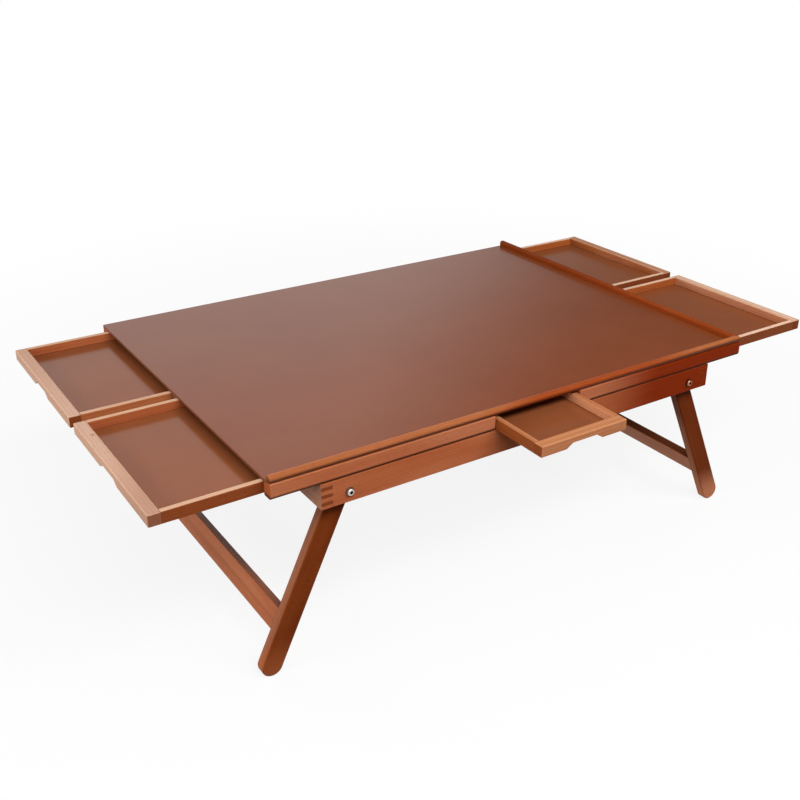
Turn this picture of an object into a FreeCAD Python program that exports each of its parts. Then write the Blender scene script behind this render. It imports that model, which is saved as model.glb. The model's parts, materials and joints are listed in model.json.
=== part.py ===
import FreeCAD
import Part
import Sketcher
import os
import re

Vector = FreeCAD.Vector

# Driving sizes in millimetres and degrees, for a table with its drawers pulled out
driving_sizes = {
    # board and rims
    "table_length": 787,
    "table_depth": 584,
    "surface_height": 286,
    "board_thickness": 4,
    "rim_width": 10,
    "rim_height": 9,
    "rim_seat": 0.8,
    "rim_round": 4,
    "edge_round": 1.2,
    "edge_chamfer": 0.8,
    # rails and dividers under the board
    "rail_thickness": 17.5,
    "rail_round": 5,
    "rail_sill": 2,
    "divider_thickness": 16,
    "cross_rail_thickness": 16,
    "centre_rail_thickness": 16,
    "small_opening": 145,
    "ledge_width": 10,
    "ledge_thickness": 5,
    # aprons
    "apron_inset": 65,
    "apron_thickness": 16,
    "apron_cover": 0.2,
    # drawers
    "left_pull": 138,
    "right_pull": 164,
    "front_pull": 92,
    "drawer_height": 15.4,
    "drawer_headroom": 0.6,
    "drawer_clearance": 1.5,
    "running_gap": 0.3,
    "stop_gap": 1.5,
    "front_thickness": 16,
    "side_thickness": 8,
    "back_thickness": 8,
    "panel_thickness": 3,
    "rabbet_depth": 3.5,
    "rabbet_gap": 0.15,
    "notch_width": 62,
    "notch_top_width": 40,
    "notch_height": 7,
    "notch_wall": 2,
    # leg frames
    "leg_angle": 25,
    "leg_width": 29,
    "leg_thickness": 15,
    "leg_headroom": 3,
    "leg_stop_gap": 0.1,
    "leg_chamfer": 1.2,
    "stretcher_width": 30,
    "stretcher_thickness": 14,
    "stretcher_reach": 198,
    "tenon_width": 22,
    "tenon_thickness": 6,
    "tenon_length": 11,
    "tenon_gap": 0.05,
    # pivot bolts
    "bolt_diameter": 5,
    "bolt_head_width": 9.5,
    "bolt_head_height": 3.4,
    "bolt_head_chamfer": 1.2,
    "bolt_tail": 2,
    "bolt_hole_gap": 0.05,
    "washer_width": 12,
    "washer_thickness": 1,
    "washer_play": 0.15,
    "nut_width": 8,
    "nut_height": 5,
    # how far a cutting shape runs past the piece
    "overrun": 2,
}

# Sizes and places that follow from the driving ones, measured on the table itself:
# along from the left end, in from the front face, and down from the work surface
worked_out = {
    "left_x": "(left_pull - right_pull - table_length) / 2",
    "front_y": "(front_pull - table_depth) / 2",
    "drawer_top": "board_thickness + drawer_headroom",
    "drawer_floor": "drawer_top + drawer_height",
    "ledge_level": "drawer_floor + running_gap",
    "ledge_drop": "ledge_level + ledge_thickness",
    "rail_drop": "drawer_floor + rail_sill",
    "opening_left": "(table_length - small_opening) / 2",
    "cross_left": "opening_left - cross_rail_thickness",
    "side_drawer_width": "table_depth / 2 - rail_thickness - divider_thickness / 2 - 2 * drawer_clearance",
    "side_drawer_depth": "cross_left - stop_gap",
    "small_drawer_width": "small_opening - 2 * drawer_clearance",
    "small_drawer_depth": "table_depth / 2 - centre_rail_thickness / 2 - stop_gap",
    "leg_top": "ledge_drop + leg_headroom",
    "leg_radius": "leg_width / 2",
    "pivot_drop": "leg_top + leg_radius",
    "apron_bottom": "leg_top + leg_width + apron_cover",
    "apron_height": "apron_bottom - rail_drop",
    "apron_setback": "rail_thickness - apron_thickness",
    "apron_inside": "apron_inset + apron_thickness",
    "stop_rise": "(apron_bottom - pivot_drop) * sin(leg_angle * 1deg)",
    "pivot_x": "apron_inside + (leg_radius + leg_stop_gap + stop_rise) / cos(leg_angle * 1deg)",
    "leg_reach": "(surface_height - pivot_drop - leg_radius) / cos(leg_angle * 1deg)",
    "leg_front": "rail_thickness + washer_thickness + 2 * washer_play",
    "leg_back": "leg_front + leg_thickness",
    "stretcher_length": "table_depth - 2 * leg_back",
    "mortise_depth": "tenon_length + tenon_gap",
    "notch_depth": "front_thickness - rabbet_depth - notch_wall",
}

finger_count = 7
hexagon_sides = 6
full_turn = 360
touch_tolerance = 1e-6

doc = FreeCAD.newDocument("PuzzleTable")
sheet = doc.addObject("Spreadsheet::Sheet", "Sizes")
entries = {name: str(size) for name, size in driving_sizes.items()}
entries.update({name: "=" + formula for name, formula in worked_out.items()})
for row, (name, content) in enumerate(entries.items(), start=1):
    sheet.set(f"A{row}", name)
    sheet.set(f"B{row}", content)
    sheet.setAlias(f"B{row}", name)
doc.recompute()

parts = []


def number(formula):
    return float(sheet.evalExpression(formula))


def bind(item, path, formula):
    def linked(word):
        return f"Sizes.{word[0]}" if word[0] in entries else word[0]

    item.setExpression(path, re.sub("[a-z_]+", linked, formula))


def place(item, corner):
    for axis, formula in zip("xyz", corner):
        bind(item, "Placement.Base." + axis, formula)


def stand_on_table(item):
    place(item, ("left_x", "front_y", "surface_height"))
    parts.append(item)


# Outlines are lists of points, anticlockwise. A third entry is the radius of the arc to that point.


def soft_corner(u, v, u_side, v_side, radius):
    beside = (f"{u} - ({u_side}) * {radius}", v)
    below = (u, f"{v} - ({v_side}) * {radius}")
    first, last = (below, beside) if u_side * v_side > 0 else (beside, below)
    return [first, (*last, radius)]


def rectangle(u_start, v_start, u_end, v_end):
    return [(u_start, v_start), (u_end, v_start), (u_end, v_end), (u_start, v_end)]


def arc_between(start, end, radius):
    chord = end - start
    left = Vector(-chord.y, chord.x, 0).normalize()
    rise = (radius ** 2 - (chord.Length / 2) ** 2) ** 0.5
    centre = (start + end) / 2 + left * rise
    return Part.Arc(start, centre - left * radius, end)


def pin(sketch, geometry, point_role, u, v):
    for kind, formula in (("DistanceX", u), ("DistanceY", v)):
        rule = Sketcher.Constraint(kind, -1, 1, geometry, point_role, number(formula))
        bind(sketch, f"Constraints[{sketch.addConstraint(rule)}]", formula)


def new_sketch(body, plane, start):
    sketch = body.newObject("Sketcher::SketchObject", body.Name + "_sketch")
    role = plane + "_Plane"
    support = next(feature for feature in body.Origin.OriginFeatures if feature.Role == role)
    sketch.AttachmentSupport = (support, [""])
    sketch.MapMode = "FlatFace"
    bind(sketch, "AttachmentOffset.Base.z", f"-({start})" if plane == "XZ" else start)
    return sketch


def draw_outline(sketch, outline):
    corners = [Vector(number(point[0]), number(point[1]), 0) for point in outline]
    count = len(corners)
    for index, start in enumerate(corners):
        following = (index + 1) % count
        if len(outline[following]) > 2:
            radius = number(outline[following][2])
            sketch.addGeometry(arc_between(start, corners[following], radius))
        else:
            sketch.addGeometry(Part.LineSegment(start, corners[following]))
    for index, point in enumerate(outline):
        before = (index - 1) % count
        sketch.addConstraint(Sketcher.Constraint("Coincident", before, 2, index, 1))
        pin(sketch, index, 1, point[0], point[1])
        if len(point) > 2:
            rule = Sketcher.Constraint("Radius", before, number(point[2]))
            bind(sketch, f"Constraints[{sketch.addConstraint(rule)}]", point[2])


def draw_circle(sketch, u, v, radius):
    centre = Vector(number(u), number(v), 0)
    circle = sketch.addGeometry(Part.Circle(centre, Vector(0, 0, 1), number(radius)))
    pin(sketch, circle, 3, u, v)
    rule = Sketcher.Constraint("Radius", circle, number(radius))
    bind(sketch, f"Constraints[{sketch.addConstraint(rule)}]", radius)


def add_pad(body, plane, outline, start, length):
    sketch = new_sketch(body, plane, start)
    draw_outline(sketch, outline)
    pad = body.newObject("PartDesign::Pad", body.Name + "_pad")
    pad.Profile = sketch
    pad.Reversed = plane == "XZ"
    bind(pad, "Length", length)


def padded(label, plane, outline, start, length):
    body = doc.addObject("PartDesign::Body", label)
    add_pad(body, plane, outline, start, length)
    return body


def turned(label, outline):
    body = doc.addObject("PartDesign::Body", label)
    sketch = new_sketch(body, "XY", "0")
    draw_outline(sketch, outline)
    turn = body.newObject("PartDesign::Revolution", label + "_turn")
    turn.Profile = sketch
    turn.ReferenceAxis = (sketch, ["V_Axis"])
    turn.Angle = full_turn
    return body


def pocket(body, plane, sketch, length):
    doc.recompute()
    volume = body.Shape.Volume
    cut = body.newObject("PartDesign::Pocket", body.Name + "_pocket")
    cut.Profile = sketch
    cut.Reversed = plane != "XZ"
    bind(cut, "Length", length)
    doc.recompute()
    if body.Shape.Volume >= volume:
        raise ValueError(f"a cut in {body.Label} removed nothing")


def cut_outline(body, plane, outline, start, length):
    sketch = new_sketch(body, plane, start)
    draw_outline(sketch, outline)
    pocket(body, plane, sketch, length)


def drill(body, u, v, radius, start, length):
    sketch = new_sketch(body, "XZ", start)
    draw_circle(sketch, u, v, radius)
    pocket(body, "XZ", sketch, length)


def ease_edges(body, width, chosen):
    doc.recompute()
    base = body.Tip
    names = [f"Edge{index}" for index, edge in enumerate(base.Shape.Edges, start=1) if chosen(edge)]
    chamfer = body.newObject("PartDesign::Chamfer", body.Name + "_eased")
    chamfer.Base = (base, names)
    bind(chamfer, "Size", width)


def block(label, corner, size):
    box = doc.addObject("Part::Box", label)
    for name, formula in zip(("Length", "Width", "Height"), size):
        bind(box, name, formula)
    place(box, corner)
    return box


def stand_block(label, corner, size):
    offsets = ("left_x", "front_y", "surface_height")
    parts.append(block(label, [f"{offset} + {inside}" for offset, inside in zip(offsets, corner)], size))


def group(label, members):
    compound = doc.addObject("Part::Compound", label)
    compound.Links = members
    stand_on_table(compound)


def lies_at(edge, axis, height):
    ends = (getattr(edge.BoundBox, axis + "Min"), getattr(edge.BoundBox, axis + "Max"))
    return all(abs(end - height) < touch_tolerance for end in ends)


# Work board with a shallow seat for the right rim
def make_board():
    outline = [
        ("0", "-board_thickness"),
        ("table_length", "-board_thickness"),
        ("table_length", "-rim_seat"),
        ("table_length - rim_width", "-rim_seat"),
        ("table_length - rim_width", "0"),
        *soft_corner("0", "0", -1, 1, "edge_round"),
    ]
    stand_on_table(padded("top_board", "XZ", outline, "rim_width", "table_depth - rim_width"))


# Two lengths of one rounded moulding, mitred where they meet
def make_rims():
    past_corner = ("table_length + overrun", "-overrun")
    past_inside = ("table_length - rim_width - overrun", "rim_width + overrun")
    cut_start = "-rim_seat - overrun"
    cut_height = "rim_height + rim_seat + 2 * overrun"

    front_section = [
        *soft_corner("0", "-rim_seat", -1, -1, "rim_round"),
        ("rim_width", "-rim_seat"),
        *soft_corner("rim_width", "rim_height", 1, 1, "rim_round"),
        *soft_corner("0", "rim_height", -1, 1, "rim_round"),
    ]
    front = padded("front_rim", "YZ", front_section, "0", "table_length")
    waste = [past_corner, ("table_length + overrun", "rim_width + overrun"), past_inside]
    cut_outline(front, "XY", waste, cut_start, cut_height)
    stand_on_table(front)

    right_section = [
        ("table_length - rim_width", "-rim_seat"),
        *soft_corner("table_length", "-rim_seat", 1, -1, "rim_round"),
        *soft_corner("table_length", "rim_height", 1, 1, "rim_round"),
        *soft_corner("table_length - rim_width", "rim_height", -1, 1, "rim_round"),
    ]
    right = padded("right_rim", "XZ", right_section, "0", "table_depth")
    waste = [past_corner, past_inside, ("table_length - rim_width - overrun", "-overrun")]
    cut_outline(right, "XY", waste, cut_start, cut_height)
    stand_on_table(right)


# Front rails carry the front rim on a lip and the board in a rabbet, back rails lie under the board
def make_rails():
    front_section = [
        *soft_corner("0", "-rail_drop", -1, -1, "rail_round"),
        ("rail_thickness", "-rail_drop"),
        ("rail_thickness", "-board_thickness"),
        ("rim_width", "-board_thickness"),
        ("rim_width", "-rim_seat"),
        *soft_corner("0", "-rim_seat", -1, 1, "edge_round"),
    ]
    back_section = [
        ("table_depth - rail_thickness", "-rail_drop"),
        *soft_corner("table_depth", "-rail_drop", 1, -1, "rail_round"),
        ("table_depth", "-board_thickness"),
        ("table_depth - rail_thickness", "-board_thickness"),
    ]
    for row, section in (("front", front_section), ("back", back_section)):
        for end, start in (("left", "0"), ("right", "table_length - opening_left")):
            stand_on_table(padded(f"{row}_rail_{end}", "YZ", section, start, "opening_left"))


# Dividers and rails between the drawers
def make_dividers():
    rail_height = "ledge_drop - board_thickness"
    divider_y = "table_depth / 2 - divider_thickness / 2"
    divider_size = ("cross_left", "divider_thickness", "ledge_level - board_thickness")
    cross_size = ("cross_rail_thickness", "table_depth - 2 * rail_thickness", rail_height)
    for end, divider_x, cross_x in (
        ("left", "0", "cross_left"),
        ("right", "table_length - cross_left", "table_length - opening_left"),
    ):
        stand_block(f"{end}_divider", (divider_x, divider_y, "-ledge_level"), divider_size)
        stand_block(f"{end}_cross_rail", (cross_x, "rail_thickness", "-ledge_drop"), cross_size)
    centre_corner = ("opening_left", "table_depth / 2 - centre_rail_thickness / 2", "-ledge_drop")
    stand_block("centre_rail", centre_corner, ("small_opening", "centre_rail_thickness", rail_height))


# Strips that the side drawers slide on, inside the aprons
def make_ledges():
    middle_width = "divider_thickness + 2 * ledge_width"
    length = "cross_left - apron_inside"
    rows = (
        ("rail_thickness", "ledge_width"),
        ("table_depth / 2 - divider_thickness / 2 - ledge_width", middle_width),
        ("table_depth - rail_thickness - ledge_width", "ledge_width"),
    )
    strips = []
    for x in ("apron_inside", "table_length - cross_left"):
        for y, width in rows:
            corner = (x, y, "-ledge_drop")
            strips.append(block("ledge_strip", corner, (length, width, "ledge_thickness")))
    group("drawer_ledges", strips)


# Strips on the cross rails that the small drawers slide on
def make_runners():
    length = "table_depth / 2 - centre_rail_thickness / 2 - rail_thickness"
    strips = []
    for x in ("opening_left", "table_length - opening_left - ledge_width"):
        for y in ("rail_thickness", "table_depth / 2 + centre_rail_thickness / 2"):
            corner = (x, y, "-ledge_drop")
            strips.append(block("runner_strip", corner, ("ledge_width", length, "ledge_thickness")))
    group("small_drawer_runners", strips)


# Apron box under the rails, finger-jointed at its corners
def finger_points(flush, set_in):
    levels = [f"-apron_bottom + apron_height * {step} / {finger_count}" for step in range(finger_count + 1)]
    points = []
    for step in range(finger_count):
        reach = set_in if step % 2 else flush
        points += [(reach, levels[step]), (reach, levels[step + 1])]
    return points


def make_long_aprons():
    left_end = finger_points("apron_inset", "apron_inside")
    right_end = finger_points("table_length - apron_inset", "table_length - apron_inside")
    outline = right_end + left_end[::-1]
    for row, start in (("front", "apron_setback"), ("back", "table_depth - rail_thickness")):
        apron = padded(f"{row}_apron", "XZ", outline, start, "apron_thickness")
        bottom = -number("apron_bottom")
        along_bottom = lambda edge: lies_at(edge, "Z", bottom) and edge.BoundBox.YLength < touch_tolerance
        ease_edges(apron, "edge_chamfer", along_bottom)
        for x in ("pivot_x", "table_length - pivot_x"):
            radius = "bolt_diameter / 2 + bolt_hole_gap"
            drill(apron, x, "-pivot_drop", radius, f"{start} - overrun", "apron_thickness + 2 * overrun")
        stand_on_table(apron)


# The end aprons rise between the rails to carry the dividers and the open side drawers
def make_end_aprons():
    front_end = finger_points("rail_thickness", "apron_setback")[:-1]
    back_end = finger_points("table_depth - rail_thickness", "table_depth - apron_setback")[:-1]
    raised = [("table_depth - rail_thickness", "-ledge_level"), ("rail_thickness", "-ledge_level")]
    outline = back_end + raised + front_end[::-1]
    for end, start in (("left", "apron_inset"), ("right", "table_length - apron_inside")):
        stand_on_table(padded(f"{end}_apron", "YZ", outline, start, "apron_thickness"))


# Pan-head bolts through the long aprons and legs, with washers and nuts
def make_pivots():
    shank = "bolt_diameter / 2"
    head = "bolt_head_width / 2"
    hole = f"{shank} + bolt_hole_gap"
    leg_layers = "apron_thickness + leg_thickness + 3 * washer_thickness + 4 * washer_play"
    length = f"{leg_layers} + nut_height + bolt_tail"
    bolt_outline = [
        ("0", "-bolt_head_height"),
        (f"{head} - bolt_head_chamfer", "-bolt_head_height"),
        (head, "bolt_head_chamfer - bolt_head_height"),
        (head, "0"),
        (shank, "0"),
        (shank, length),
        ("0", length),
    ]
    ring = rectangle(hole, "0", "washer_width / 2", "washer_thickness")
    side_turn = full_turn / hexagon_sides
    corner_reach = f"nut_width / 2 / cos({side_turn / 2}deg)"
    turns = [f"{side * side_turn}deg" for side in range(hexagon_sides)]
    hexagon = [(f"{corner_reach} * cos({turn})", f"{corner_reach} * sin({turn})") for turn in turns]
    washer_depths = (
        "0",
        "washer_thickness + apron_thickness + washer_play",
        f"{leg_layers} - washer_thickness",
    )
    bolts, washers, nuts = [], [], []

    def seat(item, x, row, depth):
        y = f"apron_setback - washer_thickness + {depth}"
        if row == "back":
            y = f"table_depth - ({y})"
            item.Placement = FreeCAD.Placement(Vector(), FreeCAD.Rotation(Vector(0, 0, 1), full_turn / 2))
        place(item, (x, y, "-pivot_drop"))
        return item

    for x in ("pivot_x", "table_length - pivot_x"):
        for row in ("front", "back"):
            bolts.append(seat(turned("bolt", bolt_outline), x, row, "0"))
            for depth in washer_depths:
                washers.append(seat(turned("washer", ring), x, row, depth))
            nut = padded("nut", "XZ", hexagon, "0", "nut_height")
            drill(nut, "0", "0", hole, "-overrun", "nut_height + 2 * overrun")
            nuts.append(seat(nut, x, row, leg_layers))
    group("pivot_bolts", bolts)
    group("pivot_washers", washers)
    group("pivot_nuts", nuts)


# A leg frame is drawn hanging straight down from its pivot and swung out to its open angle
def make_leg_frame(end, outward):
    def swing(item):
        axis = Vector(0, -outward, 0)
        item.Placement = FreeCAD.Placement(Vector(), FreeCAD.Rotation(axis, number("leg_angle")))
        bind(item, "Placement.Rotation.Angle", "leg_angle")
        x = "left_x + pivot_x" if outward < 0 else "left_x + table_length - pivot_x"
        place(item, (x, "front_y", "surface_height - pivot_drop"))
        parts.append(item)

    def section_about(thickness, width):
        low = f"-stretcher_reach - ({width}) / 2"
        high = f"-stretcher_reach + ({width}) / 2"
        return f"-({thickness}) / 2", low, f"({thickness}) / 2", high

    leg_outline = [
        ("leg_radius", "-leg_reach", "leg_radius"),
        ("leg_radius", "0"),
        ("0", "leg_radius", "leg_radius"),
        ("-leg_radius", "0", "leg_radius"),
        ("-leg_radius", "-leg_reach"),
        ("0", "-leg_reach - leg_radius", "leg_radius"),
    ]
    mortise = rectangle(*section_about("tenon_thickness + 2 * tenon_gap", "tenon_width + 2 * tenon_gap"))
    pivot_hole = "bolt_diameter / 2 + bolt_hole_gap"
    rows = (
        ("front", "leg_front", "leg_back - mortise_depth"),
        ("back", "table_depth - leg_back", "table_depth - leg_back - overrun"),
    )
    for row, start, mortise_start in rows:
        leg = padded(f"{end}_{row}_leg", "XZ", leg_outline, start, "leg_thickness")
        ease_edges(leg, "leg_chamfer", lambda edge: edge.BoundBox.YLength < touch_tolerance)
        drill(leg, "0", "0", pivot_hole, f"{start} - overrun", "leg_thickness + 2 * overrun")
        cut_outline(leg, "XZ", mortise, mortise_start, "mortise_depth + overrun")
        swing(leg)

    near, low, far, high = section_about("stretcher_thickness", "stretcher_width")
    section = [
        *soft_corner(near, low, -1, -1, "edge_round"),
        *soft_corner(far, low, 1, -1, "edge_round"),
        *soft_corner(far, high, 1, 1, "edge_round"),
        *soft_corner(near, high, -1, 1, "edge_round"),
    ]
    stretcher = padded(f"{end}_stretcher", "XZ", section, "leg_back", "stretcher_length")
    tenon = rectangle(*section_about("tenon_thickness", "tenon_width"))
    add_pad(stretcher, "XZ", tenon, "leg_back - tenon_length", "stretcher_length + 2 * tenon_length")
    swing(stretcher)


# A mirrored outline is turned round so that it stays anticlockwise, and its arc radii move one point on
def mirrored(outline):
    turned_round = outline[::-1]
    radii = [point[2:] for point in turned_round]
    return [(*point[:2], *radii[index - 1]) for index, point in enumerate(turned_round)]


# Drawer pieces are drawn about the middle of the front's lower edge, running inwards from it
def make_drawer(label, width, depth, turn, corner):
    half = f"{width} / 2"
    inner = f"{half} - side_thickness"
    panel_side = f"{inner} + rabbet_depth"
    rabbet_side = f"{panel_side} + rabbet_gap"
    rabbet_top = "panel_thickness + rabbet_gap"
    back_start = f"{depth} - back_thickness"

    def seat(item):
        item.Placement = FreeCAD.Placement(Vector(), FreeCAD.Rotation(Vector(0, 0, 1), turn))
        place(item, corner)
        parts.append(item)

    front_outline = rectangle(f"-{half}", "0", half, "drawer_height")
    front = padded(f"{label}_front", "XZ", front_outline, "0", "front_thickness")
    top = number("drawer_height")
    ease_edges(front, "edge_chamfer", lambda edge: lies_at(edge, "Y", 0) or lies_at(edge, "Z", top))
    rabbet = rectangle(f"-({panel_side})", "-overrun", panel_side, rabbet_top)
    cut_outline(front, "XZ", rabbet, "front_thickness - rabbet_depth - rabbet_gap", "rabbet_depth + overrun")
    notch = [
        ("-notch_width / 2", "0"),
        ("notch_width / 2", "0"),
        ("notch_top_width / 2", "notch_height"),
        ("-notch_top_width / 2", "notch_height"),
    ]
    cut_outline(front, "XZ", notch, "0", "notch_depth")
    seat(front)

    left_section = [
        *soft_corner(f"-({inner})", "drawer_height", 1, 1, "edge_round"),
        *soft_corner(f"-({half})", "drawer_height", -1, 1, "edge_round"),
        (f"-({half})", "0"),
        (f"-({rabbet_side})", "0"),
        (f"-({rabbet_side})", rabbet_top),
        (f"-({inner})", rabbet_top),
    ]
    right_section = [(f"-({point[0]})", *point[1:]) for point in left_section]
    for name, section in (("left", left_section), ("right", mirrored(right_section))):
        side = padded(f"{label}_{name}_side", "XZ", section, "front_thickness", f"{depth} - front_thickness")
        seat(side)

    back_outline = rectangle(f"-({inner})", rabbet_top, inner, "drawer_height")
    back = padded(f"{label}_back", "XZ", back_outline, back_start, "back_thickness")
    seat(back)

    panel_outline = rectangle(f"-({panel_side})", "front_thickness - rabbet_depth", panel_side, depth)
    bottom = padded(f"{label}_bottom", "XY", panel_outline, "0", "panel_thickness")
    seat(bottom)


def make_drawers():
    level = "surface_height - drawer_floor"
    near_y = "front_y + rail_thickness + drawer_clearance + side_drawer_width / 2"
    far_y = "front_y + table_depth - rail_thickness - drawer_clearance - side_drawer_width / 2"
    ends = (
        ("left", "left_x - left_pull", -full_turn / 4),
        ("right", "left_x + table_length + right_pull", full_turn / 4),
    )
    for end, x, turn in ends:
        for row, y in (("front", near_y), ("back", far_y)):
            corner = (x, y, level)
            make_drawer(f"{end}_{row}_drawer", "side_drawer_width", "side_drawer_depth", turn, corner)
    middle_x = "left_x + table_length / 2"
    rows = (
        ("front", "front_y - front_pull", 0),
        ("back", "front_y + table_depth", full_turn / 2),
    )
    for row, y, turn in rows:
        corner = (middle_x, y, level)
        make_drawer(f"{row}_drawer", "small_drawer_width", "small_drawer_depth", turn, corner)


def write_parts():
    doc.recompute()
    for item in doc.Objects:
        if "Invalid" in item.State or "Error" in item.State:
            raise ValueError(f"{item.Label} did not build")
    for item in parts:
        if item.Shape.isNull() or not item.Shape.isValid() or not item.Shape.Solids:
            raise ValueError(f"{item.Label} is not a valid solid")
    os.makedirs("parts", exist_ok=True)
    for item in parts:
        item.Shape.exportStep(os.path.join("parts", item.Label + ".step"))
    print(f"{len(parts)} parts written")


make_board()
make_rims()
make_rails()
make_dividers()
make_ledges()
make_runners()
make_long_aprons()
make_end_aprons()
make_pivots()
make_leg_frame("left", -1)
make_leg_frame("right", 1)
make_drawers()
write_parts()
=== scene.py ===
import json
import math
import bpy
from mathutils import Matrix, Vector

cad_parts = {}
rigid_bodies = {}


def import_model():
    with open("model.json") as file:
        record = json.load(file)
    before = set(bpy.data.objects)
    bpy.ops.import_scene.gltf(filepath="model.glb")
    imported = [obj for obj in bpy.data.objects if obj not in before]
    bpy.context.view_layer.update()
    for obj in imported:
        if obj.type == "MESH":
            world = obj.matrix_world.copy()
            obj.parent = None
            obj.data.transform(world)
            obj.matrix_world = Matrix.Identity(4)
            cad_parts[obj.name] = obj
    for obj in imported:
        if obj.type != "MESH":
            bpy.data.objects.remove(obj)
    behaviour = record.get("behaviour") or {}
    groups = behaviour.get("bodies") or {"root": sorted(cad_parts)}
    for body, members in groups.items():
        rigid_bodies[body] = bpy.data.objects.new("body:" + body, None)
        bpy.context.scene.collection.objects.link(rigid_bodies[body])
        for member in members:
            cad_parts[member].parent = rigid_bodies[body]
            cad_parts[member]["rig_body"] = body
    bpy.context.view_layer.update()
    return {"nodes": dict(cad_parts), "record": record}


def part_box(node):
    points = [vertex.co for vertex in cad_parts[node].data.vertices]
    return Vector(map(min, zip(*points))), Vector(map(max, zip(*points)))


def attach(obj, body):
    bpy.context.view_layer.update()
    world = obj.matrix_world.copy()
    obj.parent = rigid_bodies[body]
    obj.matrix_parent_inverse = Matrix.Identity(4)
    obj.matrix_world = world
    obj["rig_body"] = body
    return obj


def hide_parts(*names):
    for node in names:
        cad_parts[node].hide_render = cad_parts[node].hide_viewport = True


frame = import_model()
nodes = frame["nodes"]
bodyOf = {name: node["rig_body"] for name, node in nodes.items()}
slotOf = {name: node.material_slots[0].material.name for name, node in nodes.items()}
mm = 0.001
nearlyTouching = 0.002 * mm


def linear(part):
    share = part / 255
    return share / 12.92 if part <= 10 else ((share + 0.055) / 1.055) ** 2.4


def tone(red, green, blue):
    # a colour as it looks on a screen, 0 to 255, made linear
    return (linear(red), linear(green), linear(blue), 1.0)


def pick(sockets, key):
    if isinstance(key, int):
        return sockets[key]
    return next(s for s in sockets if key in (s.identifier, s.name))


class Wire:
    # a socket in a node tree; sums on it add Math nodes
    def __init__(self, tree, socket=None):
        self.tree = tree
        self.socket = socket

    def node(self, kind, settings, sockets, out=0):
        made = self.tree.nodes.new(kind)
        for key, value in settings.items():
            if key == "stops":
                ramp = made.color_ramp.elements
                while len(ramp) < len(value):
                    ramp.new(0.5)
                for stop, (place, colour) in zip(ramp, value):
                    stop.position = place
                    stop.color = colour
            else:
                setattr(made, key, value)
        for key, value in sockets.items():
            target = pick(made.inputs, key)
            if isinstance(value, Wire):
                self.tree.links.new(value.socket, target)
            else:
                target.default_value = value
        return Wire(self.tree, pick(made.outputs, out)) if len(made.outputs) else made

    def sum(self, operation, first, second):
        return self.node("ShaderNodeMath", {"operation": operation}, {0: first, 1: second})

    def __add__(self, other):
        return self.sum("ADD", self, other)

    def __radd__(self, other):
        return self.sum("ADD", other, self)

    def __sub__(self, other):
        return self.sum("SUBTRACT", self, other)

    def __rsub__(self, other):
        return self.sum("SUBTRACT", other, self)

    def __mul__(self, other):
        return self.sum("MULTIPLY", self, other)

    def __rmul__(self, other):
        return self.sum("MULTIPLY", other, self)

    def __abs__(self):
        return self.sum("ABSOLUTE", self, 0.0)

    def ease(self, low, high):
        # 0 below low, 1 above high, smooth between
        return self.node("ShaderNodeMapRange", {"interpolation_type": "SMOOTHSTEP"},
                         {"Value": self, "From Min": low, "From Max": high})

    def over(self, under, colour, kind="MIX"):
        # this mask lays colour over what is under it
        return self.node("ShaderNodeMix", {"data_type": "RGBA", "blend_type": kind, "clamp_factor": True},
                         {"Factor_Float": self, "A_Color": under, "B_Color": colour}, "Result_Color")

    def stretch(self, amounts):
        return self.node("ShaderNodeVectorMath", {"operation": "MULTIPLY"}, {0: self, 1: amounts})

    def noise(self, amounts, detail, roughness):
        return self.node("ShaderNodeTexNoise", {},
                         {"Vector": self.stretch(amounts), "Scale": 1.0, "Detail": detail,
                          "Roughness": roughness})

    def part(self, letter):
        return self.node("ShaderNodeSeparateXYZ", {}, {"Vector": self}, letter)

    def length(self):
        return self.node("ShaderNodeVectorMath", {"operation": "LENGTH"}, {0: self}, "Value")


def newMaterial(name):
    material = bpy.data.materials.new(name)
    material.use_nodes = True
    material.node_tree.nodes.clear()
    return material, Wire(material.node_tree)


def surface(wire, sockets):
    shader = wire.node("ShaderNodeBsdfPrincipled", {}, sockets)
    wire.node("ShaderNodeOutputMaterial", {}, {"Surface": shader})


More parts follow.
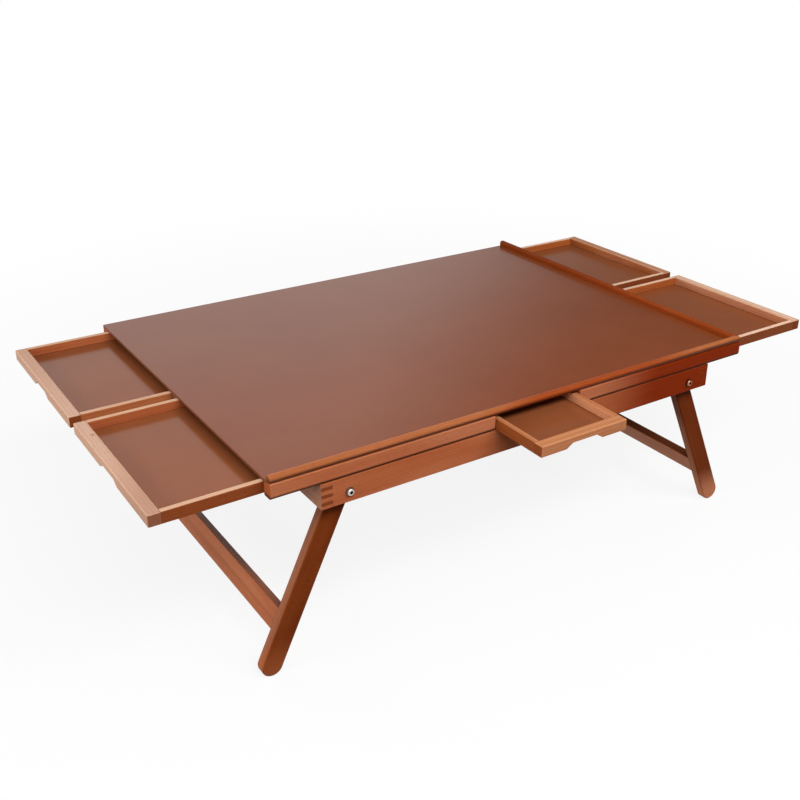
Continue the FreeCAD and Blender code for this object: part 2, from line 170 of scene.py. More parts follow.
# stained and lacquered wood: dark, mid and light grain, a deeper stain with painted shade along part of the
# piece, cut ends, eased edges lighter from wear and a painted highlight where they face up, and gloss; the
# flank, outer and top tones and the dark band along lower edges are painted light and shade
woodLooks = {
    "rim_wood": {
        "body": ((154, 84, 42), (168, 96, 54), (182, 113, 70)), "deep": (158, 77, 35),
        # darker across the middle and right of the rim: partly deeper stain, partly painted shade where less
        # light falls
        "stainAndShadeDrift": {
            "axis": "X", "rise": (-0.12, 0.0), "fade": (0.18, 0.3), "colour": (154, 68, 26), "share": 1.0,
        },
        # the dark band along the rim's lower edge is painted shade, widening to the right where the groove
        # under it lies in deeper shade
        "paintedShadeBand": {
            "from": 3.5 * mm, "to": 6.0 * mm, "climb": 1.6 * mm, "colour": (74, 28, 10), "share": 0.8,
        },
        "end": (140, 80, 46), "rubAndHighlight": (196, 122, 76),
        "blotch": 0.35, "rough": 0.38, "specular": 0.08,
    },
    "frame_wood": {
        "body": ((174, 94, 56), (186, 106, 68), (196, 118, 80)), "deep": (168, 78, 38),
        # redder and darker toward the right: partly deeper stain, partly painted shade where the light falls
        # off
        "stainAndShadeDrift": {
            "axis": "X", "rise": (0.06, 0.22), "fade": (0.8, 0.9), "colour": (132, 42, 5), "share": 1.0,
        },
        "end": (164, 86, 48), "rubAndHighlight": (164, 90, 54),
        "blotch": 0.4, "rough": 0.45, "specular": 0.03,
    },
    "inner_wood": {
        "body": ((132, 84, 54), (152, 102, 68), (170, 120, 84)), "deep": (120, 70, 42),
        "end": (112, 68, 44), "rubAndHighlight": (176, 126, 90),
        "blotch": 0.4, "rough": 0.55, "specular": 0.15,
    },
    "leg_wood": {
        "body": ((110, 45, 13), (120, 52, 18), (130, 62, 26)), "deep": (100, 36, 7),
        # the flank tone on the legs' narrow sides is a painted sheen, paler and greyer than the fronts
        "flank": ((130, 76, 53), (143, 90, 65), (153, 102, 77)),
        "patch": {"colour": (146, 72, 32), "share": 0.25},
        # the paler foot is painted light from the floor on the lower leg
        "foot": {"reach": (0.005, 0.06), "colour": (176, 96, 56), "share": 0.6},
        "end": (112, 56, 34), "rubAndHighlight": (92, 38, 14), "rubAndHighlightFrom": (-2.0, -1.5),
        "blotch": 0.6, "rough": 0.42, "specular": 0.02,
    },
    "stretcher": {
        "body": ((146, 80, 46), (160, 92, 58), (170, 104, 70)), "deep": (140, 68, 34),
        "end": (112, 56, 34), "rubAndHighlight": (110, 58, 36), "rubAndHighlightFrom": (-2.0, -1.5),
        "blotch": 0.45, "rough": 0.4, "specular": 0.1,
    },
    "drawer_front_wood": {
        "body": ((197, 154, 128), (207, 166, 143), (215, 177, 155)), "deep": (197, 147, 119),
        # the outer tone is the same wood painted in shade on the outward ends
        "outer": ((178, 133, 104), (188, 144, 114), (196, 154, 125)),
        "end": (132, 64, 30), "rubAndHighlight": (220, 176, 148),
        "blotch": 0.35, "rough": 0.4, "specular": 0.05,
    },
    "drawer_side_wood": {
        "body": ((160, 86, 50), (172, 96, 58), (182, 108, 68)), "deep": (152, 74, 38),
        # the pale top tone is painted light on the same wood, where the tops face the lamps
        "top": ((200, 154, 122), (211, 168, 138), (219, 180, 152)),
        # the dark outer tone is the same wood painted in shade on the outward sides
        "outer": ((118, 56, 26), (132, 66, 32), (142, 77, 41)),
        "end": (124, 62, 32), "rubAndHighlight": (208, 156, 122),
        "blotch": 0.4, "rough": 0.4, "specular": 0.05,
    },
    "small_front": {
        "body": ((174, 108, 66), (189, 123, 81), (200, 137, 96)), "deep": (174, 98, 55),
        "outer": ((174, 106, 66), (189, 120, 79), (199, 134, 93)),
        "end": (140, 72, 34), "rubAndHighlight": (212, 150, 108),
        "blotch": 0.35, "rough": 0.4, "specular": 0.1,
    },
    "small_side": {
        "body": ((164, 94, 52), (180, 108, 64), (192, 122, 78)), "deep": (158, 80, 40),
        "top": ((164, 98, 60), (180, 113, 73), (192, 128, 88)),
        # darker outer tone: painted shade on the outward sides
        "outer": ((128, 62, 26), (140, 74, 34), (150, 86, 46)),
        "end": (130, 68, 34), "rubAndHighlight": (200, 136, 96),
        "blotch": 0.4, "rough": 0.4, "specular": 0.08,
    },
}
# pieces whose colour differs from the rest of their kind, by how their names start: some cut from redder,
# darker or paler boards, and some with painted light and shade where they stand, noted at each
pieceTintsAndPaintedLight = (
    ("right_rim", "rim_wood", {
        "body": ((124, 50, 15), (138, 60, 21), (150, 74, 33)), "deep": (118, 43, 12),
        "stainAndShadeDrift": {
            "axis": "Y", "rise": (-0.05, 0.15), "fade": (0.8, 0.9), "colour": (96, 36, 8), "share": 0.4,
        },
        "paintedShadeBand": None, "specular": 0.03,
    }),
    ("front_rail", "frame_wood", {
        "body": ((180, 105, 69), (190, 115, 79), (198, 125, 89)),
        # a painted shade band along the rail's lower edge, where its rounded underside lies in shade over the
        # apron
        "paintedShadeBand": {
            "from": 3.0 * mm, "to": 6.0 * mm, "climb": 0.0, "colour": (58, 22, 6), "share": 0.85,
        },
    }),
    ("left_apron", "frame_wood", {
        "body": ((160, 110, 86), (170, 121, 97), (178, 132, 108)), "deep": (156, 104, 80),
        "end": (140, 71, 38),
    }),
    ("front_apron", "frame_wood", {"end": (174, 124, 100)}),
    ("left_back_drawer_right_side", "drawer_side_wood", {
        "outer": ((156, 84, 46), (172, 98, 58), (184, 112, 70)),
    }),
    # the right stretcher's dark top is painted shade under the table, and its lighter body is painted light
    # bounced from the floor onto its inner face
    ("right_stretcher", "leg_wood", {
        "body": ((176, 102, 64), (192, 117, 78), (202, 130, 92)),
        "top": ((88, 42, 22), (98, 50, 28), (108, 60, 36)),
    }),
    # the right legs' flanks and feet are painted lighter: painted light on their shaded inner sides, and from
    # the floor
    (("right_front_leg", "right_back_leg"), "leg_wood", {
        "flank": ((164, 98, 66), (178, 112, 78), (188, 124, 90)),
        "foot": {"reach": (0.01, 0.07), "colour": (208, 132, 96), "share": 0.9},
    }),
    # the left drawer fronts darken toward the near end: painted shade
    ("left_front", "drawer_front_wood", {
        "stainAndShadeDrift": {
            "axis": "Y", "rise": (-0.9, -0.8), "fade": (-0.22, -0.06), "colour": (158, 110, 86), "share": 0.5,
        },
    }),
    # the right drawers' paler tops carry a painted sheen
    ("right_", "drawer_side_wood", {
        "body": ((162, 84, 38), (175, 95, 46), (186, 107, 56)),
        "top": ((214, 170, 140), (229, 190, 162), (242, 210, 188)),
    }),
    ("right_", "drawer_front_wood", {
        "body": ((168, 102, 66), (186, 120, 83), (198, 135, 99)),
        "top": ((200, 152, 122), (215, 171, 143), (232, 196, 171)),
    }),
    ("right_back", "drawer_front_wood", {
        "body": ((140, 70, 28), (158, 84, 37), (172, 98, 48)),
        "top": ((168, 112, 80), (184, 130, 98), (200, 150, 118)),
    }),
    ("front_drawer_right_side", "drawer_side_wood", {
        "body": ((196, 126, 84), (212, 144, 102), (220, 158, 118)),
    }),
)
# noise as its stretch along, across and through a piece, its detail and its roughness,
# and then how much each part of the grain counts
woodGrain = {
    "streak": ((5, 150, 150), 3, 0.55), "fibre": ((26, 1100, 1100), 2, 0.5),
    "cloud": ((5, 26, 26), 2, 0.5), "pore": ((130, 2400, 2400), 1, 0.5),
    "ringStretch": (0.06, 1, 1), "ringScale": 78, "ringBend": 3.0, "ringDetail": 2, "ringDetailScale": 0.35,
    "tones": (0.25, 0.5, 0.75), "streakShare": 0.5, "ringShare": 0.24, "fibreShare": 0.26,
    "blotchFrom": (0.42, 0.72), "patchBelow": (0.36, 0.5), "poreFrom": (0.6, 0.72), "poreShare": 0.4,
    "endRings": 0.5, "endFibre": 0.35, "endShade": 0.88, "rubAndHighlightShare": 0.9,
    "stainAndShadeDriftLeast": 0.86, "stainAndShadeDriftStreak": 0.3, "floorLitFootLeast": 0.7, "floorLitFootCloud": 0.6,
    "climbOver": (0.0, 0.3), "knotRingLeast": 0.6, "knotRingSwing": 0.25, "knotHeart": 0.2,
    "roughStreak": 0.16, "roughEnd": 0.18, "roughPore": 0.1,
    "bump": 0.1, "bumpDepth": 0.3 * mm, "bumpFibre": 0.6, "bumpRings": 0.25, "bumpPore": 0.8,
}
# how squarely a face looks along an axis to count as a flank, an outside, a top, a cut end or an up-facing
# eased edge; flank, outside, top and edge tones paint light and shade
turnedTo = {
    "flank": (0.3, 0.7), "outer": (0.5, 0.9), "top": (0.6, 0.9), "end": (0.6, 0.9), "rubbed": (0.1, 0.5),
}
legLean = 25.0


def woodLookOf(name, slot):
    kind = slot
    if name.endswith("_stretcher"):
        kind = "stretcher"
    elif name.startswith(("front_drawer", "back_drawer")):
        kind = "small_front" if slot == "drawer_front_wood" else "small_side"
    look = woodLooks[kind]
    for start, wood, tint in pieceTintsAndPaintedLight:
        if name.startswith(start) and slot == wood:
            look = {**look, **tint}
    return look


def grainTurn(name):
    # the turn that lays a piece's length along X
    low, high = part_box(name)
    if name.endswith("_leg"):
        lean = legLean if name.startswith("left") else -legLean
        return (0.0, math.radians(90 - lean), 0.0)
    if high.y - low.y > high.x - low.x:
        return (0.0, 0.0, -math.pi / 2)
    return (0.0, 0.0, 0.0)


def grainShift(count):
    # each piece is cut from another place in the log
    return (0.37 * count, 0.061 * (count % 7) + 0.05, 0.043 * (count % 5) + 0.04)


def outwardOf(name):
    # the way a drawer's front, side or back faces, away from the drawer
    low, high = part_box(name)
    floorLow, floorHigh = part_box(name.partition("_drawer")[0] + "_drawer_bottom")
    gap = low + high - floorLow - floorHigh
    thin = 0 if high.x - low.x < high.y - low.y else 1
    return tuple(math.copysign(1.0, gap[axis]) if axis == thin else 0.0 for axis in range(3))


def grainColour(stripe, tones):
    stops = list(zip(woodGrain["tones"], (tone(*t) for t in tones)))
    return stripe.node("ShaderNodeValToRGB", {"stops": stops}, {"Fac": stripe})


def stainedWood(name, look, count, knot=None):
    material, wire = newMaterial(name)
    grain = woodGrain
    turn = grainTurn(name)
    place = wire.node("ShaderNodeTexCoord", {}, {}, "Object")
    facing = wire.node("ShaderNodeTexCoord", {}, {}, "Normal")
    along = wire.node("ShaderNodeMapping", {},
                      {"Vector": place, "Rotation": turn, "Location": grainShift(count)})
    faceAlong = wire.node("ShaderNodeMapping", {"vector_type": "VECTOR"}, {"Vector": facing, "Rotation": turn})
    streak, fibre, cloud, pore = (along.noise(*grain[key]) for key in ("streak", "fibre", "cloud", "pore"))
    pore = pore.ease(*grain["poreFrom"])
    rings = wire.node("ShaderNodeTexWave",
                      {"wave_type": "RINGS", "rings_direction": "X", "wave_profile": "SAW"},
                      {"Vector": along.stretch(grain["ringStretch"]), "Scale": grain["ringScale"],
                       "Distortion": grain["ringBend"], "Detail": grain["ringDetail"],
                       "Detail Scale": grain["ringDetailScale"]})
    stripe = streak * grain["streakShare"] + rings * grain["ringShare"] + fibre * grain["fibreShare"]
    colour = grainColour(stripe, look["body"])
    # the narrow sides of legs take the flank tones: a painted sheen, and on the right legs painted light
    if "flank" in look:
        flank = 1 - abs(facing.part("Y")).ease(*turnedTo["flank"])
        colour = flank.over(colour, grainColour(stripe, look["flank"]))
    # outward faces of drawer parts take their own outer tones: the same wood painted in light or shade by how
    # the lamps fall on that side
    if "outer" in look:
        away = wire.node("ShaderNodeVectorMath", {"operation": "DOT_PRODUCT"},
                         {0: facing, 1: outwardOf(name)}, "Value")
        colour = away.ease(*turnedTo["outer"]).over(colour, grainColour(stripe, look["outer"]))
    colour = (cloud.ease(*grain["blotchFrom"]) * look["blotch"]).over(colour, tone(*look["deep"]))
    if "patch" in look:  # where the stain took less
        patch = look["patch"]
        colour = ((1 - cloud.ease(*grain["patchBelow"])) * patch["share"]).over(colour, tone(*patch["colour"]))
    # upward faces take the top tones: painted light on lit tops, and painted shade on the right stretcher's top
    # under the table
    if "top" in look:
        colour = facing.part("Z").ease(*turnedTo["top"]).over(colour, grainColour(stripe, look["top"]))
    colour = (pore * grain["poreShare"]).over(colour, tone(*look["body"][0]), "MULTIPLY")
    cutEnd = abs(faceAlong.part("X")).ease(*turnedTo["end"])
    endRings = rings * grain["endRings"] + fibre * grain["endFibre"]
    endShade = tone(*(grain["endShade"] * part for part in look["end"]))
    colour = cutEnd.over(colour, endRings.over(tone(*look["end"]), endShade))
    if look.get("stainAndShadeDrift"):  # a deeper stain and painted shade along part of the length
        stainAndShadeDrift = look["stainAndShadeDrift"]
        reach = place.part(stainAndShadeDrift["axis"])
        taken = reach.ease(*stainAndShadeDrift["rise"]) * (1 - reach.ease(*stainAndShadeDrift["fade"])) * stainAndShadeDrift["share"]
        uneven = grain["stainAndShadeDriftLeast"] + streak * grain["stainAndShadeDriftStreak"]
        colour = (taken * uneven).over(colour, tone(*stainAndShadeDrift["colour"]))
    if look.get("paintedShadeBand"):  # painted shade along the lower edge, reaching higher up to the right
        paintedShadeBand = look["paintedShadeBand"]
        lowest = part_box(name)[0].z
        height = place.part("Z") - place.part("X").ease(*grain["climbOver"]) * paintedShadeBand["climb"]
        paintedShadeMask = 1 - height.ease(lowest + paintedShadeBand["from"], lowest + paintedShadeBand["to"])
        colour = (paintedShadeMask * paintedShadeBand["share"]).over(colour, tone(*paintedShadeBand["colour"]))
    # paler toward the foot: painted light from the floor
    if "foot" in look:
        foot = look["foot"]
        uneven = cloud * grain["floorLitFootCloud"] + grain["floorLitFootLeast"]
        floorLitFoot = (1 - place.part("Z").ease(*foot["reach"])) * uneven * foot["share"]
        colour = floorLitFoot.over(colour, tone(*foot["colour"]))
    # eased edges that face up take the edge colour: partly wear, partly a painted highlight where the top light
    # catches them; legs and stretchers take a dark edge colour on every edge
    rubbed = wire.node("ShaderNodeAttribute", {"attribute_name": "rubbed"}, {}, "Fac")
    rubbed = rubbed * facing.part("Z").ease(*look.get("rubAndHighlightFrom", turnedTo["rubbed"]))
    colour = (rubbed * cloud * grain["rubAndHighlightShare"]).over(colour, tone(*look["rubAndHighlight"]))
    if knot:
        toKnot = wire.node("ShaderNodeVectorMath", {"operation": "SUBTRACT"}, {0: place, 1: knot["at"]})
        reach = toKnot.stretch(knot["stretch"]).length() + (cloud - 0.5) * knot["size"]
        wave = wire.node("ShaderNodeMath", {"operation": "SINE"}, {0: reach * knot["rings"]})
        knotRings = wave * grain["knotRingSwing"] + grain["knotRingLeast"]
        within = 1 - reach.ease(grain["knotHeart"] * knot["size"], knot["size"])
        colour = (within * knotRings).over(colour, tone(*knot["colour"]))
    rough = (look["rough"] + (streak - 0.5) * grain["roughStreak"] + cutEnd * grain["roughEnd"]
             + pore * grain["roughPore"])
    height = fibre * grain["bumpFibre"] + rings * grain["bumpRings"] - pore * grain["bumpPore"]
    bump = wire.node("ShaderNodeBump", {}, {"Strength": grain["bump"], "Distance": grain["bumpDepth"],
                                            "Height": height})
    surface(wire, {"Base Color": colour, "Roughness": rough, "Normal": bump,
                   "Specular IOR Level": look["specular"]})
    return material


# smooth coated fibreboard: the coat's faint mottle, the bare cut edge and the raw underside
boardLooks = {
    "board_face": {
        "face": (126, 63, 32), "warm": (130, 67, 35), "speck": (116, 62, 34),
        "edge": (82, 46, 30), "under": (138, 100, 72), "rough": 0.19, "specular": 0.34,
    },
    "drawer_board": {
        "face": (138, 76, 44), "warm": (143, 81, 48), "speck": (130, 71, 41),
        "edge": (96, 58, 38), "under": (142, 104, 76), "rough": 0.18, "specular": 0.24,
    },
}
boardGrain = {
    "mottle": ((7, 7, 7), 3, 0.6), "grain": ((240, 240, 240), 2, 0.6), "fluff": ((1500, 1500, 700), 2, 0.6),
    "mottleFrom": (0.3, 0.7), "speckFrom": (0.45, 0.75), "speckShare": 0.2, "flat": (0.4, 0.8),
    "edgeFluff": (0.35, 0.65), "underFluff": (0.3, 0.7), "underShare": 0.6,
    "roughMottle": 0.03, "roughGrain": 0.03, "roughEdge": 0.4, "roughUnder": 0.6,
    "bump": 0.04, "bumpDepth": 0.1 * mm, "bumpEdge": 5,
}


def coatedBoard(name, look, count):
    material, wire = newMaterial(name)
    board = boardGrain
    place = wire.node("ShaderNodeTexCoord", {}, {}, "Object")
    facing = wire.node("ShaderNodeTexCoord", {}, {}, "Normal")
    spot = wire.node("ShaderNodeMapping", {}, {"Vector": place, "Location": (0.29 * count, 0.17 * count, 0.0)})
    mottle, grain, fluff = (spot.noise(*board[key]) for key in ("mottle", "grain", "fluff"))
    face, warm, speck, edge, bare = (tone(*look[key]) for key in ("face", "warm", "speck", "edge", "under"))
    colour = mottle.ease(*board["mottleFrom"]).over(face, warm)
    colour = (grain.ease(*board["speckFrom"]) * board["speckShare"]).over(colour, speck)
    side = 1 - abs(facing.part("Z")).ease(*board["flat"])
    colour = side.over(colour, fluff.ease(*board["edgeFluff"]).over(edge, speck))
    under = (0 - facing.part("Z")).ease(*board["flat"])
    colour = under.over(colour, (fluff.ease(*board["underFluff"]) * board["underShare"]).over(bare, speck))
    rough = (look["rough"] + (mottle - 0.5) * board["roughMottle"] + (grain - 0.5) * board["roughGrain"]
             + side * board["roughEdge"] + under * board["roughUnder"])
    bump = wire.node("ShaderNodeBump", {}, {"Strength": board["bump"], "Distance": board["bumpDepth"],
                                            "Height": mottle + side * fluff * board["bumpEdge"]})
    surface(wire, {"Base Color": colour, "Roughness": rough, "Normal": bump,
                   "Specular IOR Level": look["specular"]})
    return material


# zinc plate, bright on the screws and dull on the washers, with a painted warm reflection toward the right and
# painted shade in the sockets
zincLooks = {
    "zincPlate": {
        "bright": (204, 201, 198), "dull": (152, 147, 142), "tint": (190, 181, 168), "recess": (26, 24, 24),
        "paintedWarmReflection": {"colour": (214, 158, 128), "rise": (0.1, 0.2)}, "rough": 0.3,
    },
    "dullZinc": {
        "bright": (112, 92, 78), "dull": (74, 56, 46), "tint": (98, 76, 60), "recess": (26, 24, 24),
        "paintedWarmReflection": {"colour": (190, 130, 100), "rise": (0.1, 0.2)}, "rough": 0.55,
    },
}
zincGrain = {
    "bloom": ((500, 500, 500), 3, 0.6), "grain": ((2600, 2600, 2600), 2, 0.6),
    "bloomFrom": (0.35, 0.7), "dullFrom": (0.55, 0.75), "dullShare": 0.5,
    "roughBloom": 0.2, "roughGrain": 0.1, "bump": 0.06, "bumpDepth": 0.05 * mm,
}


def zincSteel(name, look):
    material, wire = newMaterial(name)
    plate = zincGrain
    place = wire.node("ShaderNodeTexCoord", {}, {}, "Object")
    bloom, grain = (place.noise(*plate[key]) for key in ("bloom", "grain"))
    colour = bloom.ease(*plate["bloomFrom"]).over(tone(*look["bright"]), tone(*look["tint"]))
    colour = (grain.ease(*plate["dullFrom"]) * plate["dullShare"]).over(colour, tone(*look["dull"]))
    # the inside of the socket is painted dark: painted shade in the hole
    recess = wire.node("ShaderNodeAttribute", {"attribute_name": "recess"}, {}, "Fac")
    colour = recess.over(colour, tone(*look["recess"]))
    # toward the right the zinc is tinted brown: a painted warm reflection of the wood around it
    paintedWarmReflection = look["paintedWarmReflection"]
    colour = place.part("X").ease(*paintedWarmReflection["rise"]).over(colour, tone(*paintedWarmReflection["colour"]), "MULTIPLY")
    rough = look["rough"] + (bloom - 0.5) * plate["roughBloom"] + (grain - 0.5) * plate["roughGrain"]
    bump = wire.node("ShaderNodeBump", {}, {"Strength": plate["bump"], "Distance": plate["bumpDepth"],
                                            "Height": grain})
    surface(wire, {"Base Color": colour, "Roughness": rough, "Normal": bump, "Metallic": 1.0})
    return material


def onlyThis(piece):
    bpy.ops.object.select_all(action="DESELECT")
    piece.select_set(True)
    bpy.context.view_layer.objects.active = piece


# every wooden piece and board is a copy of its solid with the edges eased by hand
easedEdge = {"width": 0.38 * mm, "steps": 2, "sharperThan": 32, "flatWithin": 0.4, "flatWeight": 100}


def easedCopy(name, material):
    piece = bpy.data.objects.new(name + "_eased", nodes[name].data.copy())
    bpy.context.scene.collection.objects.link(piece)
    onlyThis(piece)
    piece.data.materials.clear()
    piece.data.materials.append(material)
    piece.data.materials.append(material)  # for the eased edges, until they are marked
    bpy.ops.object.mode_set(mode="EDIT")
    bpy.ops.mesh.select_all(action="SELECT")
    bpy.ops.mesh.customdata_custom_splitnormals_clear()
    bpy.ops.mesh.remove_doubles(threshold=nearlyTouching)
    bpy.ops.mesh.dissolve_limited(angle_limit=math.radians(easedEdge["flatWithin"]))
    bpy.ops.mesh.mark_sharp(clear=True)
    bpy.ops.object.mode_set(mode="OBJECT")
    bpy.ops.object.shade_smooth()
    bevel = piece.modifiers.new("easedEdge", "BEVEL")
    bevel.width = easedEdge["width"]
    bevel.segments = easedEdge["steps"]
    bevel.limit_method = "ANGLE"
    bevel.angle_limit = math.radians(easedEdge["sharperThan"])
    bevel.use_clamp_overlap = False
    bevel.material = 1
    bpy.ops.object.modifier_apply(modifier=bevel.name)
    flat = piece.modifiers.new("flatFaces", "WEIGHTED_NORMAL")
    flat.weight = easedEdge["flatWeight"]
    flat.keep_sharp = False
    bpy.ops.object.modifier_apply(modifier=flat.name)
    rubbed = piece.data.attributes.new("rubbed", "FLOAT", "FACE")
    for face, mark in zip(piece.data.polygons, rubbed.data):
        mark.value = float(face.material_index)
        face.material_index = 0
    piece.data.materials.pop(index=1)
    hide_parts(name)
    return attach(piece, bodyOf[name])


knots = {
    "left_front_drawer_front": {
        "at": (-0.534, -0.0083, 0.2814), "size": 0.0028, "stretch": (1.0, 0.7, 0.8), "rings": 5200,
        "colour": (142, 72, 42),
    },
}
woodCount = 0
for name, slot in slotOf.items():
    if slot in woodLooks:
        woodCount += 1
        easedCopy(name, stainedWood(name, woodLookOf(name, slot), woodCount, knots.get(name)))
    elif slot in boardLooks:
        woodCount += 1
        easedCopy(name, coatedBoard(name, boardLooks[slot], woodCount))
print("wooden pieces and boards eased:", woodCount)

zinc, dullZinc = (zincSteel(name, look) for name, look in zincLooks.items())
nodes["pivot_washers"].material_slots[0].material = dullZinc
hinges = [joint for joint in frame["record"]["behaviour"]["joints"] if joint["type"] == "hinge"]


def choose(piece, parts, wanted):
    # selects the faces or edges that pass a test, and leaves the piece in edit mode
    bpy.ops.object.mode_set(mode="EDIT")
    bpy.ops.mesh.select_mode(type="FACE" if parts == "polygons" else "EDGE")
    bpy.ops.mesh.select_all(action="DESELECT")
    bpy.ops.object.mode_set(mode="OBJECT")
    for part in getattr(piece.data, parts):
        part.select = wanted(part)
    bpy.ops.object.mode_set(mode="EDIT")


def edgeAt(piece, y):
    return lambda edge: all(abs(piece.data.vertices[i].co.y - y) < 0.01 * mm for i in edge.vertices)


def rod(sides, radius, start, end):
    # a round or six-sided bar along Y
    bpy.ops.object.select_all(action="DESELECT")
    bpy.ops.mesh.primitive_cylinder_add(vertices=sides, radius=radius, depth=end - start, end_fill_type="NGON",
                                        location=(0, (start + end) / 2, 0), rotation=(math.pi / 2, 0, 0))
    bpy.ops.object.transform_apply(location=True, rotation=True, scale=True)
    return bpy.context.object


def carve(piece, tool, operation):
    onlyThis(piece)
    cut = piece.modifiers.new("carve", "BOOLEAN")
    cut.operation = operation
    cut.solver = "EXACT"
    cut.object = tool
    bpy.ops.object.modifier_apply(modifier=cut.name)
    bpy.data.objects.remove(tool)
    bpy.ops.object.mode_set(mode="EDIT")
    bpy.ops.mesh.select_all(action="SELECT")
    bpy.ops.mesh.remove_doubles(threshold=nearlyTouching)
    bpy.ops.mesh.dissolve_degenerate(threshold=nearlyTouching)
    bpy.ops.object.mode_set(mode="OBJECT")


# how far round each bolt and nut was left, in degrees
screwTurns = {"first": 37, "perPivot": 61, "behind": 23}
roundSides = 48
creaseAngle = 30
overrun = 1 * mm


def screwOn(piece, node, seats):
    # one copy on each end of both pivots
    bpy.ops.object.shade_smooth_by_angle(angle=math.radians(creaseAngle))
    piece.data.materials.clear()
    piece.data.materials.append(zinc)
    for count, hinge in enumerate(hinges):
        for row, y, about in (("front", seats[0], 0.0), ("back", seats[1], math.pi)):
            placed = piece.copy()
            placed.data = piece.data.copy()
            placed.name = f"{piece.name}_{hinge['child'].split('_')[0]}_{row}"
            bpy.context.scene.collection.objects.link(placed)
            onlyThis(placed)
            turn = screwTurns["first"] + screwTurns["perPivot"] * count + screwTurns["behind"] * (row == "back")
            placed.location = (hinge["pos_m"][0], y, hinge["pos_m"][2])
            placed.rotation_euler = (0.0, math.radians(turn), about)
            bpy.ops.object.transform_apply(location=True, rotation=True, scale=True)
            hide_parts(node)
            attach(placed, bodyOf[node])
    bpy.data.objects.remove(piece)


# button-head bolts with a six-sided socket
bolt = {
    "head": 4.75 * mm, "headHeight": 3.4 * mm, "dome": 2.1 * mm, "domeSteps": 6,
    "shank": 2.5 * mm, "plain": 33.0 * mm, "length": 41.6 * mm, "pitch": 0.8 * mm, "threadRoot": 0.84,
    "socket": 2.4 * mm, "socketDeep": 2.3 * mm, "socketLip": 0.1 * mm,
}
boltTop = -bolt["headHeight"]
bolt["piece"] = rod(roundSides, bolt["head"], boltTop, 0.0)
bolt["piece"].name = "pivotBolt"
choose(bolt["piece"], "edges", edgeAt(bolt["piece"], boltTop))
bpy.ops.mesh.bevel(offset=bolt["dome"], segments=bolt["domeSteps"], profile=0.5)
bpy.ops.object.mode_set(mode="OBJECT")
choose(bolt["piece"], "polygons", lambda face: face.normal.y > 0.9)
bpy.ops.mesh.inset(thickness=bolt["head"] - bolt["shank"])
bpy.ops.mesh.extrude_region_move(TRANSFORM_OT_translate={"value": (0, bolt["plain"], 0)})
for turnCount in range(int((bolt["length"] - bolt["plain"]) / bolt["pitch"])):
    for size in (bolt["threadRoot"], 1 / bolt["threadRoot"]):
        bpy.ops.mesh.extrude_region_move(TRANSFORM_OT_translate={"value": (0, bolt["pitch"] / 2, 0)})
        bpy.ops.transform.resize(value=(size, 1, size), center_override=(0, 0, 0))
bpy.ops.object.mode_set(mode="OBJECT")
carve(bolt["piece"], rod(6, bolt["socket"], boltTop - overrun, bolt["socketDeep"] + boltTop), "DIFFERENCE")
# the faces inside the socket are marked for a painted shade
recess = bolt["piece"].data.attributes.new("recess", "FLOAT", "FACE")
for face, mark in zip(bolt["piece"].data.polygons, recess.data):
    sunk = boltTop + bolt["socketLip"] < face.center.y < -bolt["socketLip"]
    mark.value = float(sunk and math.hypot(face.center.x, face.center.z) < bolt["socket"])
low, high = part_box("pivot_bolts")
screwOn(bolt["piece"], "pivot_bolts", (low.y + bolt["headHeight"], high.y - bolt["headHeight"]))

# lock nuts: a chamfered hexagon with a round collar
nut = {
    "flats": 8.0 * mm, "hexHeight": 3.7 * mm, "chamfer": 0.55 * mm, "bore": 2.55 * mm, "spare": 0.05 * mm,
    "collar": 3.6 * mm, "collarRound": 0.6 * mm, "collarSteps": 4, "height": 5.0 * mm,
}
corner = nut["flats"] / 2 / math.cos(math.pi / 6)
nut["piece"] = rod(6, corner, 0.0, nut["hexHeight"])
nut["piece"].name = "pivotNut"
blankEnds = (-nut["spare"], nut["hexHeight"] + nut["spare"])
blank = rod(roundSides, corner + nut["spare"], *blankEnds)
choose(blank, "edges", lambda edge: any(edgeAt(blank, y)(edge) for y in blankEnds))
bpy.ops.mesh.bevel(offset=nut["chamfer"] + 2 * nut["spare"], segments=1)
bpy.ops.object.mode_set(mode="OBJECT")
carve(nut["piece"], blank, "INTERSECT")
collar = rod(roundSides, nut["collar"], nut["hexHeight"] / 2, nut["height"])
choose(collar, "edges", edgeAt(collar, nut["height"]))
bpy.ops.mesh.bevel(offset=nut["collarRound"], segments=nut["collarSteps"], profile=0.5)
bpy.ops.object.mode_set(mode="OBJECT")
carve(nut["piece"], collar, "UNION")
carve(nut["piece"], rod(roundSides, nut["bore"], -overrun, nut["height"] + overrun), "DIFFERENCE")
low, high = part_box("pivot_nuts")
screwOn(nut["piece"], "pivot_nuts", (low.y, high.y))
print("pivots screwed together:", 2 * len(hinges), "bolts and nuts")


studio = {
    "ambient": 0.22, "dusk": 0.1, "duskTilt": 0.6, "duskOver": (0.68, 0.88),
    "floorSize": 60, "floor": 0.82, "bounce": 0.12, "floorWhite": 0.86, "whiteOver": (0.7, 2.0),
    "lamps": {
        "front": {
            "at": (0.0, -1.3, 1.62), "to": (0.0, -0.15, 0.27), "size": (2.4, 0.6), "watts": 37,
            "mirrored": True,
        },
        "left": {
            "at": (-2.3, -0.35, 0.75), "to": (-0.3, 0.0, 0.2), "size": (1.0, 1.0), "watts": 28,
            "mirrored": False,
        },
        "backLeft": {
            "at": (-1.1, 2.3, 0.7), "to": (0.0, 0.3, 0.25), "size": (1.6, 0.6), "watts": 22,
            "mirrored": False,
        },
        "right": {
            "at": (2.3, 0.4, 0.8), "to": (0.4, 0.0, 0.25), "size": (1.0, 0.8), "watts": 14,
            "mirrored": False,
        },
    },
}
white = (1, 1, 1, 1)


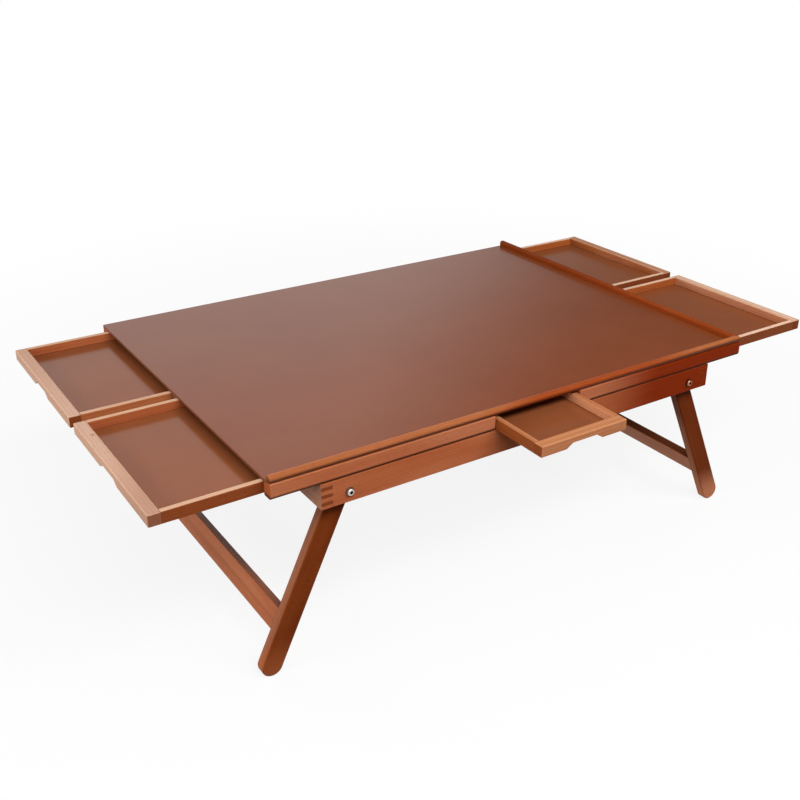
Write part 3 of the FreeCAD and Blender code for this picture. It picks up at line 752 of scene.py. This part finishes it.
def raysSeen(wire):
    # what the camera sees straight, in a gloss, and through something clear
    path = wire.node("ShaderNodeLightPath", {}, {}).socket.node.outputs
    kinds = ("Is Camera Ray", "Is Glossy Ray", "Is Transmission Ray")
    return [Wire(wire.tree, pick(path, kind)) for kind in kinds]


# white all round, soft as a light, and dark to the right in what a gloss mirrors
world = bpy.data.worlds.new("studioWorld")
bpy.context.scene.world = world
world.use_nodes = True
world.node_tree.nodes.clear()
wire = Wire(world.node_tree)
straight, glossy, through = raysSeen(wire)
toward = wire.node("ShaderNodeTexCoord", {}, {}, "Generated")
dim = (toward.part("X") + toward.part("Z") * studio["duskTilt"]).ease(*studio["duskOver"])
soft, bright, dusk = (wire.node("ShaderNodeBackground", {}, {"Color": white, "Strength": strength})
                      for strength in (studio["ambient"], 1.0, studio["dusk"]))
mirrored = wire.node("ShaderNodeMixShader", {}, {0: glossy * dim, 1: bright, 2: dusk})
shown = wire.node("ShaderNodeMixShader", {}, {0: straight + glossy + through, 1: soft, 2: mirrored})
wire.node("ShaderNodeOutputWorld", {}, {"Surface": shown})

# the floor is pale and keeps the shadow, and turns white further out
bpy.ops.object.select_all(action="DESELECT")
bpy.ops.mesh.primitive_plane_add(size=studio["floorSize"], location=(0, 0, 0))
floor = bpy.context.object
floor.name = "studioFloor"
material, wire = newMaterial("paleFloor")
straight, glossy, through = raysSeen(wire)
matt, bounced = (wire.node("ShaderNodeBsdfDiffuse", {}, {"Color": (studio[key],) * 3 + (1,)})
                 for key in ("floor", "bounce"))
glow = wire.node("ShaderNodeEmission", {}, {"Color": white, "Strength": 1.0})
away = wire.node("ShaderNodeTexCoord", {}, {}, "Object").length().ease(*studio["whiteOver"])
whiter = away * (1 - studio["floorWhite"]) + studio["floorWhite"]
pale = wire.node("ShaderNodeMixShader", {}, {0: whiter, 1: matt, 2: glow})
shown = wire.node("ShaderNodeMixShader", {}, {0: straight + glossy + through, 1: bounced, 2: pale})
wire.node("ShaderNodeOutputMaterial", {}, {"Surface": shown})
floor.data.materials.append(material)

for name, lamp in studio["lamps"].items():
    light = bpy.data.lights.new(name, "AREA")
    light.shape = "RECTANGLE"
    light.size, light.size_y = lamp["size"]
    light.energy = lamp["watts"]
    holder = bpy.data.objects.new(name, light)
    bpy.context.scene.collection.objects.link(holder)
    holder.visible_glossy = lamp["mirrored"]
    holder.location = lamp["at"]
    holder.rotation_euler = (Vector(lamp["to"]) - Vector(lamp["at"])).to_track_quat("-Z", "Y").to_euler()
print("studio lit:", len(studio["lamps"]), "lamps")

shot = {
    "at": (-0.832935, -1.187544, 0.883879), "yaw": -34.0705, "pitch": -24.7821, "roll": 0.5708,
    "focalPixels": 1038.987, "middle": (425.0, 384.0), "imageSide": 800, "sensor": 36.0, "sees": 200,
}
yaw, pitch, roll = (math.radians(shot[key]) for key in ("yaw", "pitch", "roll"))
ahead = Vector((-math.sin(yaw) * math.cos(pitch), math.cos(yaw) * math.cos(pitch), math.sin(pitch)))
right = ahead.cross(Vector((0, 0, 1))).normalized()
up = right.cross(ahead)
right, up = math.cos(roll) * right + math.sin(roll) * up, math.cos(roll) * up - math.sin(roll) * right
camera = bpy.data.cameras.new("photoCamera")
camera.sensor_width = shot["sensor"]
camera.lens = shot["focalPixels"] / shot["imageSide"] * camera.sensor_width
camera.shift_x = 0.5 - shot["middle"][0] / shot["imageSide"]
camera.shift_y = shot["middle"][1] / shot["imageSide"] - 0.5
camera.clip_end = shot["sees"]
cameraHolder = bpy.data.objects.new("photoCamera", camera)
bpy.context.scene.collection.objects.link(cameraHolder)
cameraHolder.matrix_world = Matrix.Translation(shot["at"]) @ Matrix((right, up, -ahead)).transposed().to_4x4()
bpy.context.scene.camera = cameraHolder
bpy.context.scene.view_settings.view_transform = "Standard"
